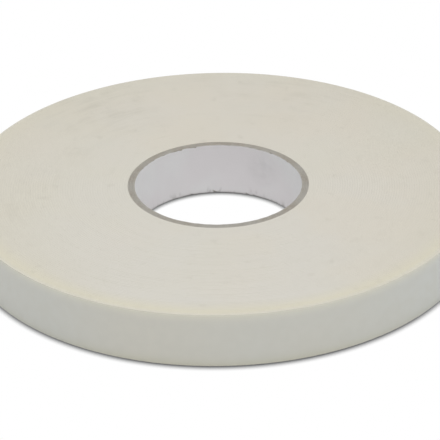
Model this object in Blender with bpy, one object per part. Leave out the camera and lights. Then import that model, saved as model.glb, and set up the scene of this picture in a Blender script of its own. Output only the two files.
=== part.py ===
"""Roll of double-sided foam mounting tape on a paper core, in metres, +Z up.

The roll lies flat. Its axis is the Z axis, and the origin is the middle of its lower face. The tape
is one strip wound into a spiral, counter-clockwise seen from above, with its release liner outwards.
The laps under the last one are bonded to each other, so they are one solid. The last lap is made of
the tape's layers, and so is the end of the tape, which lifts off the roll about a line across the
tape. The end of the liner peels off the foam about a second such line.
"""

import math

import bmesh
import bpy
from mathutils import Vector

# Paper core: a white lining around the bore, then plies of grey board
BORE_DIAMETER = 0.076
LINING_THICKNESS = 0.0003
BOARD_PLY_THICKNESS = 0.00065
BOARD_PLY_COUNT = 4
GLUE_LINE = 0.00004

# Tape: the core and the tape are slit to one width
TAPE_WIDTH = 0.025
TAPE_LENGTH = 33.0
FOAM_THICKNESS = 0.00085
ADHESIVE_THICKNESS = 0.000055
LINER_THICKNESS = 0.00008
LAYER_GAP = 0.00002

# End of the tape: where it was cut off, and how much of the tape and of its liner comes loose
CUT_END_ANGLE = math.radians(18)
LIFTED_LENGTH = 0.060
PEELED_LENGTH = 0.035
HINGE_GAP = 0.0003

# Flat facets in one turn of the roll, and the corner past which an edge stays sharp
FACETS_PER_TURN = 96
SHARP_CORNER = math.radians(30)

# Finishes: linear colour and roughness
FINISHES = {
    "white_paper": ((0.80, 0.80, 0.81), 0.75),
    "grey_board": ((0.36, 0.33, 0.29), 0.90),
    "foam": ((0.68, 0.65, 0.56), 0.85),
    "adhesive": ((0.74, 0.70, 0.56), 0.25),
    "release_liner": ((0.62, 0.62, 0.57), 0.45),
}

# Layers of the tape, from the side that faces the core outwards: name, thickness, finish
LAYERS = (
    ("inner_adhesive", ADHESIVE_THICKNESS, "adhesive"),
    ("foam", FOAM_THICKNESS, "foam"),
    ("outer_adhesive", ADHESIVE_THICKNESS, "adhesive"),
    ("liner", LINER_THICKNESS, "release_liner"),
)

# Worked out from the sizes above: the tape's area along the spiral sets the roll's radius
FULL_TURN = 2 * math.pi
LAP_PITCH = sum(LAYER_GAP + thickness for _, thickness, _ in LAYERS)
CORE_WALL = LINING_THICKNESS + BOARD_PLY_COUNT * (GLUE_LINE + BOARD_PLY_THICKNESS)
WOUND_RADIUS = BORE_DIAMETER / 2 + CORE_WALL + GLUE_LINE
END_RADIUS = math.sqrt(WOUND_RADIUS**2 + TAPE_LENGTH * LAP_PITCH / math.pi)
LAST_TURN_ANGLE = CUT_END_ANGLE - FULL_TURN
LIFT_ANGLE = CUT_END_ANGLE - LIFTED_LENGTH / END_RADIUS
PEEL_ANGLE = CUT_END_ANGLE - PEELED_LENGTH / END_RADIUS
GAP_ANGLE = HINGE_GAP / END_RADIUS


def clear_scene():
    """Remove every object that the scene holds."""
    for scene_object in list(bpy.data.objects):
        bpy.data.objects.remove(scene_object, do_unlink=True)


def facet_angles(start, stop):
    """Even steps from one angle to another, about FACETS_PER_TURN of them to a turn."""
    count = max(1, round((stop - start) / FULL_TURN * FACETS_PER_TURN))
    return [start + (stop - start) * step / count for step in range(count + 1)]


# Every piece has its facets at these angles, so that layers lie flat on each other
LAP_ANGLES = facet_angles(LAST_TURN_ANGLE, LIFT_ANGLE)
ROOT_ANGLES = facet_angles(LIFT_ANGLE, PEEL_ANGLE)
TIP_ANGLES = facet_angles(PEEL_ANGLE, CUT_END_ANGLE)
TURN_ANGLES = LAP_ANGLES + ROOT_ANGLES[1:] + TIP_ANGLES[1:]


def outer_radius(angle):
    """Radius of the roll's outer surface at an angle of its last turn."""
    return END_RADIUS + LAP_PITCH * (angle - CUT_END_ANGLE) / FULL_TURN


def constant(radius):
    """A radius that is the same at every angle."""
    return lambda angle: radius


def below_surface(depth):
    """A radius that stays one depth under the roll's outer surface."""
    return lambda angle: outer_radius(angle) - depth


def around(radius, angle, height=0.0):
    """The point at a radius, an angle and a height."""
    return Vector((radius * math.cos(angle), radius * math.sin(angle), height))


def make_material(name, finish):
    """A Principled BSDF with a finish's colour and roughness."""
    colour, roughness = FINISHES[finish]
    material = bpy.data.materials.new(name)
    material.use_nodes = True
    shader = material.node_tree.nodes["Principled BSDF"]
    shader.inputs["Base Color"].default_value = (*colour, 1.0)
    shader.inputs["Roughness"].default_value = roughness
    shader.inputs["Metallic"].default_value = 0.0
    return material


def make_empty(name, position, parent=None):
    """An empty at a point of the roll, carried by another empty if one is given."""
    empty = bpy.data.objects.new(name, None)
    empty.empty_display_size = TAPE_WIDTH / 2
    empty.location = position
    if parent is not None:
        empty.parent = parent
        empty.location = position - parent.matrix_world.translation
    bpy.context.scene.collection.objects.link(empty)
    bpy.context.view_layer.update()
    return empty


def make_wall(name, angles, inner, outer, finish, parent, closed=False):
    """A solid as tall as the tape is wide, between two radii that are functions of the angle.

    It runs through the angles in order, and back to the first one where it is closed.
    """
    pivot = parent.matrix_world.translation
    bm = bmesh.new()
    rungs = []
    for angle in angles:
        ends = (around(inner(angle), angle), around(outer(angle), angle))
        rungs.append([bm.verts.new(end - pivot) for end in ends])
    following = rungs[1:] + rungs[:1] if closed else rungs[1:]
    for near, far in zip(rungs, following):
        bm.faces.new((near[0], near[1], far[1], far[0]))
    raised = bmesh.ops.extrude_face_region(bm, geom=bm.faces[:])["geom"]
    top = [element for element in raised if isinstance(element, bmesh.types.BMVert)]
    bmesh.ops.translate(bm, vec=(0.0, 0.0, TAPE_WIDTH), verts=top)
    bmesh.ops.recalc_face_normals(bm, faces=bm.faces[:])
    mesh = bpy.data.meshes.new(name)
    bm.to_mesh(mesh)
    bm.free()
    mesh.shade_smooth()
    mesh.set_sharp_from_angle(angle=SHARP_CORNER)
    mesh.materials.append(make_material(name, finish))
    wall = bpy.data.objects.new(name, mesh)
    wall.parent = parent
    bpy.context.scene.collection.objects.link(wall)
    return wall


def make_ring(name, inner_radius, thickness, finish, parent):
    """A plain ring around the roll's axis."""
    outer_edge = inner_radius + thickness
    angles = TURN_ANGLES[:-1]
    make_wall(name, angles, constant(inner_radius), constant(outer_edge), finish, parent, closed=True)


def make_layer(name, layer_index, angles, parent):
    """One layer of the tape, on the last turn of the spiral."""
    depth = sum(LAYER_GAP + thickness for _, thickness, _ in LAYERS[layer_index + 1:])
    _, thickness, finish = LAYERS[layer_index]
    make_wall(name, angles, below_surface(depth + thickness), below_surface(depth), finish, parent)


def build_core(roll):
    """The paper core: its lining, then its board plies from the bore outwards."""
    make_ring("core_lining", BORE_DIAMETER / 2, LINING_THICKNESS, "white_paper", roll)
    radius = BORE_DIAMETER / 2 + LINING_THICKNESS
    for ply in range(1, BOARD_PLY_COUNT + 1):
        radius += GLUE_LINE
        make_ring(f"core_ply_{ply}", radius, BOARD_PLY_THICKNESS, "grey_board", roll)
        radius += BOARD_PLY_THICKNESS


def build_wound_laps(roll):
    """The bonded laps from the core to the last lap, with a step where the last lap starts."""
    angles = [LAST_TURN_ANGLE + GAP_ANGLE] + TURN_ANGLES[1:]
    surface = below_surface(LAP_PITCH)
    make_wall("wound_laps", angles, constant(WOUND_RADIUS), surface, "foam", roll, closed=True)


def build_last_lap(roll):
    """The layers of the last lap, from the step in the laps below to where the tape lifts."""
    angles = [LAST_TURN_ANGLE + 2 * GAP_ANGLE] + LAP_ANGLES[1:-1] + [LIFT_ANGLE - GAP_ANGLE]
    for index, (layer, _, _) in enumerate(LAYERS):
        make_layer(f"last_lap_{layer}", index, angles, roll)


def build_tape_end(tape_hinge):
    """The layers of the end of the tape. Its liner stops where the liner's end begins."""
    whole_end = ROOT_ANGLES + TIP_ANGLES[1:]
    under_liner = ROOT_ANGLES[:-1] + [PEEL_ANGLE - GAP_ANGLE]
    for index, (layer, _, _) in enumerate(LAYERS):
        angles = under_liner if layer == "liner" else whole_end
        make_layer(f"tape_end_{layer}", index, angles, tape_hinge)


def build_liner_end(liner_hinge):
    """The end of the release liner, which peels off the end of the tape."""
    make_layer("liner_end", len(LAYERS) - 1, TIP_ANGLES, liner_hinge)


def main():
    """Build the roll, with each hinge line on the liner's outer surface at half the width."""
    clear_scene()
    middle = TAPE_WIDTH / 2
    roll = make_empty("roll_axis", Vector((0.0, 0.0, 0.0)))
    tape_hinge = make_empty("tape_end_hinge", around(outer_radius(LIFT_ANGLE), LIFT_ANGLE, middle), roll)
    liner_line = around(outer_radius(PEEL_ANGLE), PEEL_ANGLE, middle)
    liner_hinge = make_empty("liner_end_hinge", liner_line, tape_hinge)
    build_core(roll)
    build_wound_laps(roll)
    build_last_lap(roll)
    build_tape_end(tape_hinge)
    build_liner_end(liner_hinge)


main()
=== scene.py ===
"""Looks of a roll of double-sided foam mounting tape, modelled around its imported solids.

Metres, +Z up, in the frame of the solids: the roll lies flat on its lower face, and its axis is the Z
axis. The sizes of the core, the roll and the tape's layers are measured on those solids, and only wear
and texture have sizes of their own. The tape is one strip wound into a spiral, counter-clockwise seen
from above, with its release liner outwards. An angle of the last turn runs up to the one where the tape
was cut off, and a lap is counted inwards from the last one.
"""

import logging
import math
import random
from collections.abc import Callable
from dataclasses import asdict, dataclass, field
from enum import Enum
from typing import ClassVar

import bmesh
import bpy
from mathutils import Color, Matrix, Vector, noise


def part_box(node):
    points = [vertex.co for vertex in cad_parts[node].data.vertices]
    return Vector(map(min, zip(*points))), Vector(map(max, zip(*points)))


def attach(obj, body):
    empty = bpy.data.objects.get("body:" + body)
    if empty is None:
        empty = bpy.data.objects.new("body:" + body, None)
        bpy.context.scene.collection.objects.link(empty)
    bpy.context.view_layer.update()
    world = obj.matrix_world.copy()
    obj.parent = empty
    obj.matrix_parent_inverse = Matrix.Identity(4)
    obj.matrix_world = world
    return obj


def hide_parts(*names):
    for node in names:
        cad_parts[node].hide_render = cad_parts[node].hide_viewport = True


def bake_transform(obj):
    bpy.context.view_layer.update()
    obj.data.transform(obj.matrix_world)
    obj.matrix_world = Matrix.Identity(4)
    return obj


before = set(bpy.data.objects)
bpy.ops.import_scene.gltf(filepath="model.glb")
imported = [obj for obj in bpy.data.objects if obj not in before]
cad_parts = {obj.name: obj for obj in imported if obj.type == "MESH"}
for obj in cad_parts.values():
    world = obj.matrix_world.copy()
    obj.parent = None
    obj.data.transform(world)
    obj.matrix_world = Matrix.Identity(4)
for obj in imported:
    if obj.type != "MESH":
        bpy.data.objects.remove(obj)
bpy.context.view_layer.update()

ROLL_BODY = "roll"
BAKE_MAP = "OFBake"

FULL_TURN = 2 * math.pi
CENTRE = (0.0, 0.0, 0.0)
AXIS = (0.0, 0.0, 1.0)
SHARP_CORNER = math.radians(35)
MERGE_DISTANCE = 1e-6
LAP_ROUNDING = 1e-4
NOISE_MIDDLE = 0.5
RISING = (0.0, 1.0)
FALLING = (1.0, 0.0)

Colour = tuple[float, float, float]
Place = tuple[float, float, float]
Point = tuple[float, float]
Range = tuple[float, float]
Outline = list[Point]
Mesh = bmesh.types.BMesh
Turns = dict[bmesh.types.BMVert, float]
Piece = bpy.types.Object
Socket = bpy.types.NodeSocket
Value = Socket | float | Colour

log = logging.getLogger("tape_roll")


class Slot(Enum):
    """Material slots of the record."""

    WHITE_PAPER = "white_paper"
    GREY_BOARD = "grey_board"
    FOAM = "foam"
    ADHESIVE = "adhesive"
    RELEASE_LINER = "release_liner"


Finishes = dict[Slot, bpy.types.Material]


class Layer(Enum):
    """Layers of the tape, from the side that faces the core outwards."""

    INNER_ADHESIVE = "inner_adhesive"
    FOAM = "foam"
    OUTER_ADHESIVE = "outer_adhesive"
    LINER = "liner"

    @property
    def slot(self) -> Slot:
        """Material slot of the layer."""
        return {Layer.FOAM: Slot.FOAM, Layer.LINER: Slot.RELEASE_LINER}.get(self, Slot.ADHESIVE)


class Joint(Enum):
    """Joints of the frame."""

    LIFT = "tape_end_lift"
    PEEL = "liner_end_peel"


class Edge(Enum):
    """The two slit edges of the tape and the core, with the way that each one faces."""

    LOWER = -1
    UPPER = 1

    @classmethod
    def towards(cls, way: float) -> "Edge":
        """The upper edge for a way above 0, or else the lower one."""
        return cls.UPPER if way > 0 else cls.LOWER


class Side(Enum):
    """Sides of a bent strip on edge, with the first and last place of each one's band on a flat map."""

    OUTER = (0.04, 0.40)
    INNER = (0.44, 0.80)
    UPPER = (0.84, 0.89)
    LOWER = (0.92, 0.97)
    START = (0.04, 0.48)
    STOP = (0.52, 0.96)


def shade(red: int, green: int, blue: int) -> Colour:
    """Linear colour of a shade that is given as it shows on a screen.

    Args:
        red: Red, from 0 to 255.
        green: Green, from 0 to 255.
        blue: Blue, from 0 to 255.

    Returns:
        The same shade as a linear colour.
    """
    seen = Color((red / 255, green / 255, blue / 255))
    return tuple(seen.from_srgb_to_scene_linear())


def part_way(ends: Range, share: float) -> float:
    """The number that lies a share of the way from one end of a range to the other."""
    return ends[0] + (ends[1] - ends[0]) * share


def around(radius: float, angle: float, height: float) -> Vector:
    """The point at a radius, an angle and a height."""
    return Vector((radius * math.cos(angle), radius * math.sin(angle), height))


def radius_of(point: Vector) -> float:
    """How far a point is from the roll's axis."""
    return math.hypot(point.x, point.y)


def angle_of(point: Vector) -> float:
    """How far round the roll's axis a point is."""
    return math.atan2(point.y, point.x)


def wrapped(angle: float) -> float:
    """The same angle, within half a turn to either side of 0."""
    return (angle + math.pi) % FULL_TURN - math.pi


def polar(node: str) -> list[Point]:
    """Measure the corners of one of the frame's solids around the roll's axis.

    Args:
        node: Name of the solid.

    Returns:
        The radius and the angle of each corner.
    """
    corners = [vertex.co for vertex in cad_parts[node].data.vertices]
    return [(radius_of(corner), angle_of(corner)) for corner in corners]


@dataclass(frozen=True)
class Wander:
    """A smooth random change along the laps.

    Attributes:
        in_turn: How quickly it changes around a turn.
        per_lap: How quickly it changes from lap to lap.
        strength: How far it goes to either side.
        shift: Where it starts, which sets it apart from others.
    """

    in_turn: float
    per_lap: float
    strength: float
    shift: float = 0.0

    def at(self, angle: float, turn: float) -> float:
        """Its value at an angle, so many turns in from the cut end."""
        return self.strength * noise.noise(around(self.in_turn, angle, self.per_lap * turn + self.shift))


@dataclass(frozen=True)
class Winding:
    """The spiral that the tape follows, and the layers of the tape on it.

    Attributes:
        core_radius: Where the innermost lap lies on the core.
        end_radius: Outer surface of the roll at the cut end of the tape.
        end_angle: Angle of the cut end.
        lift_angle: Angle of the line about which the end of the tape lifts.
        peel_angle: Angle of the line about which the end of the liner peels.
        pitch: Thickness of one lap.
        depths: Nearer and further depth of each layer below the lap's outer surface.
        low: Height of the lower slit edges.
        high: Height of the upper slit edges.
        unevenness: How far the slit edges of some laps stay inside the full width.
        usual_share: Share of that at most places.
        wanders: What changes that share.
        edge_shift: Sets the two slit edges apart from each other.
    """

    core_radius: float
    end_radius: float
    end_angle: float
    lift_angle: float
    peel_angle: float
    pitch: float
    depths: dict[Layer, Range]
    low: float
    high: float
    unevenness: float = 0.00007
    usual_share: float = 0.45
    wanders: tuple[Wander, ...] = (Wander(1.5, 0.31, 0.5), Wander(3.0, 2.7, 0.25, shift=50.0))
    edge_shift: float = 100.0

    @classmethod
    def from_frame(cls) -> "Winding":
        """Measure the winding on the frame's solids.

        Returns:
            The winding. A layer reaches down to the next one, so no slit shows between them.
        """
        laps = [radius for radius, _ in polar("wound_laps")]
        surface = [radius for radius in laps if radius > (min(laps) + max(laps)) / 2]
        tip = polar("liner_end")
        end_radius = max(radius for radius, _ in tip)
        pitch = max(surface) - min(surface)
        tops = {}
        for layer in Layer:
            node = "liner_end" if layer is Layer.LINER else f"tape_end_{layer.value}"
            tops[layer] = end_radius - max(radius for radius, _ in polar(node))
        layers = list(Layer)
        bottoms = {upper: tops[lower] for lower, upper in zip(layers, layers[1:])}
        bottoms[Layer.INNER_ADHESIVE] = pitch
        low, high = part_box("wound_laps")
        return cls(
            core_radius=min(laps),
            end_radius=end_radius,
            end_angle=max(angle for _, angle in tip),
            lift_angle=min(angle for _, angle in polar("tape_end_foam")),
            peel_angle=min(angle for _, angle in tip),
            pitch=pitch,
            depths={layer: (tops[layer], bottoms[layer]) for layer in Layer},
            low=low.z,
            high=high.z,
        )

    @property
    def start_angle(self) -> float:
        """Angle of the last turn at which that turn begins."""
        return self.end_angle - FULL_TURN

    def radius(self, angle: float, lap: int = 0) -> float:
        """Radius of a lap's outer surface at an angle of the last turn."""
        return self.end_radius + self.pitch * ((angle - self.end_angle) / FULL_TURN - lap)

    def shortfall(self, angle: float, lap: int, edge: Edge) -> float:
        """How far a slit edge stays inside the full width, which wanders from lap to lap.

        Args:
            angle: Angle of the last turn.
            lap: Laps inwards from the last one.
            edge: Which of the two slit edges.

        Returns:
            The distance.
        """
        turn = (self.end_angle - angle) / FULL_TURN + lap + self.edge_shift * edge.value
        share = self.usual_share + sum(wander.at(angle, turn) for wander in self.wanders)
        return self.unevenness * min(1.0, max(0.0, share))


@dataclass(frozen=True)
class Grain:
    """A noise on a surface that shows as a mask.

    Attributes:
        size: Length of its largest waves.
        detail: How many finer waves are added.
        limits: Values of the noise between which the mask sets in.
        roughness: How strong the finer waves are.
        shown: Value of the mask below and above those limits.
    """

    size: float
    detail: float
    limits: Range
    roughness: float = 0.5
    shown: Range = RISING


@dataclass(frozen=True)
class Tint:
    """A colour that lies over another one where a mask shows.

    Attributes:
        colour: The colour.
        strength: How much of it lies there where the mask is full.
    """

    colour: Colour
    strength: float = 1.0


class Graph:
    """A shader node tree, with short ways to add nodes to it and to wire them up."""

    def __init__(self, tree: bpy.types.NodeTree) -> None:
        """Keep the tree that the nodes go into."""
        self.tree = tree

    def feed(self, target: Socket, value: Value) -> None:
        """Wire a socket to another one, or set its own value.

        Args:
            target: The socket that is fed.
            value: An output socket, a number, a vector or a colour.
        """
        if isinstance(value, Socket):
            self.tree.links.new(value, target)
        elif target.type == "RGBA":
            target.default_value = (*value, 1.0)
        else:
            target.default_value = value

    def add(
        self, kind: str, inputs: dict[str | int, Value] | None = None, **settings: object
    ) -> bpy.types.Node:
        """Add a shader node.

        Args:
            kind: The node's type, without the word that all shader nodes share.
            inputs: What feeds its sockets, by their names or places.
            settings: Its other settings.

        Returns:
            The node.
        """
        node = self.tree.nodes.new(f"ShaderNode{kind}")
        for name, setting in settings.items():
            setattr(node, name, setting)
        for name, value in (inputs or {}).items():
            self.feed(node.inputs[name], value)
        return node

    def math(self, operation: str, *values: Value) -> Socket:
        """Work out a number from others."""
        return self.add("Math", dict(enumerate(values)), operation=operation).outputs[0]

    def vector(self, operation: str, *values: Value) -> Socket:
        """Work out a vector from others."""
        return self.add("VectorMath", dict(enumerate(values)), operation=operation).outputs[0]

    def measure(self, operation: str, *values: Value) -> Socket:
        """Work out a number from vectors."""
        return self.add("VectorMath", dict(enumerate(values)), operation=operation).outputs["Value"]

    def coordinates(self, vector: Socket) -> tuple[Socket, ...]:
        """The three numbers of a vector."""
        return tuple(self.add("SeparateXYZ", {0: vector}).outputs)

    def overlap(self, mask: Socket, other: Socket) -> Socket:
        """Where two masks show at once."""
        return self.math("MULTIPLY", mask, other)

    def between(self, mask: Socket, ends: Range) -> Socket:
        """A number that goes from one end of a range to the other as a mask rises."""
        return self.math("MULTIPLY_ADD", mask, ends[1] - ends[0], ends[0])

    def spread(
        self, value: Socket, limits: tuple[Value, Value], onto: tuple[Value, Value] = RISING
    ) -> Socket:
        """Bring a range of a number to another range, with a smooth start and end.

        Args:
            value: The number.
            limits: Where its range starts and ends.
            onto: What the start and the end become.

        Returns:
            The number in its new range.
        """
        inputs = dict(enumerate((value, *limits, *onto)))
        return self.add("MapRange", inputs, interpolation_type="SMOOTHSTEP").outputs[0]

    def mix(self, factor: Value, first: Value, second: Value) -> Socket:
        """Mix two colours.

        Args:
            factor: 0 gives the first one and 1 the second.
            first: A colour.
            second: A colour.

        Returns:
            The mixed colour.
        """
        node = self.add("Mix", data_type="RGBA")
        colours = [socket for socket in node.inputs if socket.type == "RGBA"]
        self.feed(node.inputs[0], factor)
        self.feed(colours[0], first)
        self.feed(colours[1], second)
        return next(socket for socket in node.outputs if socket.type == "RGBA")

    def coats(self, colour: Value, *tints: tuple[Socket, Tint]) -> Socket:
        """Lay tints over a colour, one after the other.

        Args:
            colour: The colour below them.
            tints: The mask of each tint, and the tint.

        Returns:
            The colour that shows.
        """
        for mask, tint in tints:
            colour = self.mix(self.math("MULTIPLY", mask, tint.strength), colour, tint.colour)
        return colour

    def noise(self, place: Socket, scale: Value, detail: float, roughness: float = 0.5) -> Socket:
        """Noise from 0 to 1.

        Args:
            place: Where on the surface.
            scale: Waves to the metre.
            detail: How many finer waves are added.
            roughness: How strong the finer waves are.

        Returns:
            The noise's value.
        """
        inputs = {"Vector": place, "Scale": scale, "Detail": detail, "Roughness": roughness}
        return self.add("TexNoise", inputs).outputs[0]

    def grain(self, place: Socket, grain: Grain) -> Socket:
        """A noise that shows as a mask."""
        waves = self.noise(place, 1 / grain.size, grain.detail, grain.roughness)
        return self.spread(waves, grain.limits, grain.shown)

    def place_on_piece(self) -> Socket:
        """Where a point lies on its piece, in metres."""
        return self.add("TexCoord").outputs["Object"]

    def bump(self, height: Socket, depth: float) -> Socket:
        """A normal that follows a height from 0 to 1 times a depth."""
        return self.add("Bump", {"Strength": 1.0, "Distance": depth, "Height": height}).outputs[0]

    def use(self, effect: "Effect", place: Socket) -> dict[str, Socket]:
        """Place a shared effect.

        Args:
            effect: The effect, with the values of this use of it.
            place: Where on the surface.

        Returns:
            Its outputs, by their names.
        """
        node = self.add("Group", {"place": place} | asdict(effect), node_tree=effect.group())
        return {socket.name: socket for socket in node.outputs}


@dataclass(frozen=True)
class Effect:
    """A shader node group that more than one finish uses.

    The group is built once. Its inputs are a place and the effect's fields, so that each use of it has
    values of its own.
    """

    name: ClassVar[str]
    outputs: ClassVar[tuple[str, ...]]

    def wire(self, graph: Graph, given: dict[str, Socket]) -> dict[str, Socket]:
        """Make the effect from what it is given.

        Args:
            graph: The group's tree.
            given: The group's inputs, by their names.

        Returns:
            What the group puts out, by the outputs' names.
        """
        raise NotImplementedError

    def group(self) -> bpy.types.NodeTree:
        """Find the group, or build it.

        Returns:
            The group.
        """
        tree = bpy.data.node_groups.get(self.name)
        if tree is not None:
            return tree
        tree = bpy.data.node_groups.new(self.name, "ShaderNodeTree")
        tree.interface.new_socket("place", in_out="INPUT", socket_type="NodeSocketVector")
        for name in asdict(self):
            tree.interface.new_socket(name, in_out="INPUT", socket_type="NodeSocketFloat")
        for name in self.outputs:
            tree.interface.new_socket(name, in_out="OUTPUT", socket_type="NodeSocketFloat")
        entrance = tree.nodes.new("NodeGroupInput")
        leaving = tree.nodes.new("NodeGroupOutput")
        graph = Graph(tree)
        made = self.wire(graph, {socket.name: socket for socket in entrance.outputs})
        for name, socket in made.items():
            graph.feed(leaving.inputs[name], socket)
        return tree


@dataclass(frozen=True)
class SoftPatches(Effect):
    """Soft patches, as in the colour of paper, board and foam.

    Attributes:
        size: Length of a patch.
        softness: How gently a patch ends.
    """

    size: float
    softness: float
    name: ClassVar[str] = "soft_patches"
    outputs: ClassVar[tuple[str, ...]] = ("patch",)

    def wire(self, graph: Graph, given: dict[str, Socket]) -> dict[str, Socket]:
        """Spread a noise around its middle.

        Args:
            graph: The group's tree.
            given: The group's inputs, by their names.

        Returns:
            What the group puts out, by the outputs' names.
        """
        waves = graph.math("DIVIDE", 1.0, given["size"])
        value = graph.noise(given["place"], waves, detail=2.0, roughness=0.45)
        low = graph.math("SUBTRACT", NOISE_MIDDLE, given["softness"])
        high = graph.math("ADD", NOISE_MIDDLE, given["softness"])
        return {"patch": graph.spread(value, (low, high))}


@dataclass(frozen=True)
class PaperFibre(Effect):
    """Tangled fibres of paper and board: a mask of dark fibres, and a height.

    Attributes:
        size: Length of the tangle's largest waves.
        tangle: How the tangle is made.
        fibre_width: How far from a fibre's middle its mask ends, in values of the tangle.
        tooth_fineness: How much finer the paper's tooth is than the tangle.
        tooth_share: Share of that tooth in the height.
    """

    size: float
    name: ClassVar[str] = "paper_fibre"
    outputs: ClassVar[tuple[str, ...]] = ("fibre", "height")
    tangle: ClassVar[dict[str, float]] = {"Detail": 3.0, "Roughness": 0.6, "Distortion": 1.6}
    fibre_width: ClassVar[float] = 0.06
    tooth_fineness: ClassVar[float] = 2.3
    tooth_share: ClassVar[float] = 0.4

    def wire(self, graph: Graph, given: dict[str, Socket]) -> dict[str, Socket]:
        """Bend a noise into fibres, and lay fine tooth over them.

        Args:
            graph: The group's tree.
            given: The group's inputs, by their names.

        Returns:
            What the group puts out, by the outputs' names.
        """
        waves = graph.math("DIVIDE", 1.0, given["size"])
        inputs = {"Vector": given["place"], "Scale": waves} | self.tangle
        tangle = graph.add("TexNoise", inputs).outputs[0]
        ridge = graph.math("ABSOLUTE", graph.math("SUBTRACT", tangle, NOISE_MIDDLE))
        finer = graph.math("MULTIPLY", waves, self.tooth_fineness)
        tooth = graph.noise(given["place"], finer, detail=3.0, roughness=0.65)
        tooth_height = graph.math("MULTIPLY", tooth, self.tooth_share)
        return {
            "fibre": graph.spread(ridge, (0.0, self.fibre_width), FALLING),
            "height": graph.math("MULTIPLY_ADD", tangle, 1 - self.tooth_share, tooth_height),
        }


@dataclass(frozen=True)
class LapSmudges(Effect):
    """Grime smeared along the laps on one side of the roll: a mask, and the radius that it follows.

    Attributes:
        thickness: Width of a smear across the laps.
        smears_per_turn: How many smears follow each other around the roll.
        smears: The smears, in lengths and widths of a smear.
        faintest: How much of the grime lies between the smears.
        lumps: What breaks the smears.
        areas: Where on the roll there are any.
        areas_shift: Sets those areas apart from other patterns.
        dirty_way: The way from the axis to the dirty side.
        dirty_side: How far a place is on that side where the grime sets in and is full.
        side_shares: Share of the grime on the other side, and on the dirty one.
        band: Radii at which the grime sets in and is full.
    """

    thickness: float = 0.0028
    smears_per_turn: float = 20.0
    name: ClassVar[str] = "lap_smudges"
    outputs: ClassVar[tuple[str, ...]] = ("smudge", "radius")
    smears: ClassVar[Grain] = Grain(1.0, 3.0, (0.38, 0.70), roughness=0.65)
    faintest: ClassVar[float] = 0.15
    lumps: ClassVar[Grain] = Grain(1 / 110, 3.0, (0.34, 0.66), roughness=0.6, shown=(0.2, 1.0))
    areas: ClassVar[Grain] = Grain(1 / 24, 2.0, (0.38, 0.62))
    areas_shift: ClassVar[Place] = (0.011, 0.030, 0.0)
    dirty_way: ClassVar[Place] = (-0.57, 0.82, 0.0)
    dirty_side: ClassVar[Range] = (-0.1, 0.95)
    side_shares: ClassVar[Range] = (0.2, 1.0)
    band: ClassVar[Range] = (0.052, 0.082)

    def wire(self, graph: Graph, given: dict[str, Socket]) -> dict[str, Socket]:
        """Stretch a noise along the laps, break it into lumps, and keep it to some areas of one side.

        Args:
            graph: The group's tree.
            given: The group's inputs, by their names.

        Returns:
            What the group puts out, by the outputs' names.
        """
        place = given["place"]
        flat = graph.vector("MULTIPLY", place, (1.0, 1.0, 0.0))
        radius = graph.measure("LENGTH", flat)
        outwards = graph.vector("NORMALIZE", flat)
        reach = graph.math("DIVIDE", given["smears_per_turn"], FULL_TURN)
        turned = graph.add("VectorMath", {0: outwards, "Scale": reach}, operation="SCALE").outputs[0]
        widths = graph.math("DIVIDE", radius, given["thickness"])
        along = graph.vector("ADD", turned, graph.add("CombineXYZ", {2: widths}).outputs[0])
        smears = graph.between(graph.grain(along, self.smears), (self.faintest, 1.0))
        facing = graph.measure("DOT_PRODUCT", outwards, self.dirty_way)
        side = graph.spread(facing, self.dirty_side, self.side_shares)
        shifted = graph.vector("ADD", place, self.areas_shift)
        dirty = graph.overlap(side, graph.spread(radius, self.band))
        dirty = graph.overlap(dirty, graph.grain(shifted, self.areas))
        broken = graph.overlap(smears, graph.grain(place, self.lumps))
        return {"smudge": graph.overlap(broken, dirty), "radius": radius}


@dataclass(frozen=True)
class SlitEdges(Effect):
    """What shows along the slit edges: rubbing on both, a fade from each one, and the cuts themselves.

    Attributes:
        low: Height of the lower slit edge.
        high: Height of the upper slit edge.
        reach: How far from an edge its marks reach.
        rub_waves: Waves to the metre of the noise that breaks the rubbing.
        rub_strength: How strongly it does that.
        rub_limits: Where the rubbing starts to fade and where it ends, in reaches.
        fade_limits: The same for the fades.
        fade_power: Power that keeps the fades close to their edges.
        cut_limits: How far a face looks up or down where the cut sets in and is full.
    """

    low: float
    high: float
    reach: float
    name: ClassVar[str] = "slit_edges"
    outputs: ClassVar[tuple[str, ...]] = ("rub", "upper", "lower", "cut")
    rub_waves: ClassVar[float] = 260.0
    rub_strength: ClassVar[float] = 1.6
    rub_limits: ClassVar[Range] = (0.8, 1.8)
    fade_limits: ClassVar[Range] = (-1.5, 4.0)
    fade_power: ClassVar[float] = 2.0
    cut_limits: ClassVar[Range] = (0.5, 0.8)

    def wire(self, graph: Graph, given: dict[str, Socket]) -> dict[str, Socket]:
        """Measure from the edges, and break the rubbing by a noise.

        Args:
            graph: The group's tree.
            given: The group's inputs, by their names.

        Returns:
            What the group puts out, by the outputs' names.
        """
        height = graph.coordinates(given["place"])[2]
        distances = {
            "lower": graph.math("SUBTRACT", height, given["low"]),
            "upper": graph.math("SUBTRACT", given["high"], height),
        }
        reaches = {name: graph.math("DIVIDE", away, given["reach"]) for name, away in distances.items()}
        nearest = graph.math("MINIMUM", reaches["lower"], reaches["upper"])
        broken = graph.noise(given["place"], self.rub_waves, detail=3.0, roughness=0.6)
        rubbed = graph.math("MULTIPLY_ADD", broken, self.rub_strength, nearest)
        made = {"rub": graph.spread(rubbed, self.rub_limits, FALLING)}
        for name, away in reaches.items():
            fade = graph.spread(away, self.fade_limits, FALLING)
            made[name] = graph.math("POWER", fade, self.fade_power)
        upwards = graph.coordinates(graph.add("NewGeometry").outputs["True Normal"])[2]
        made["cut"] = graph.spread(graph.math("ABSOLUTE", upwards), self.cut_limits)
        return made


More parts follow.
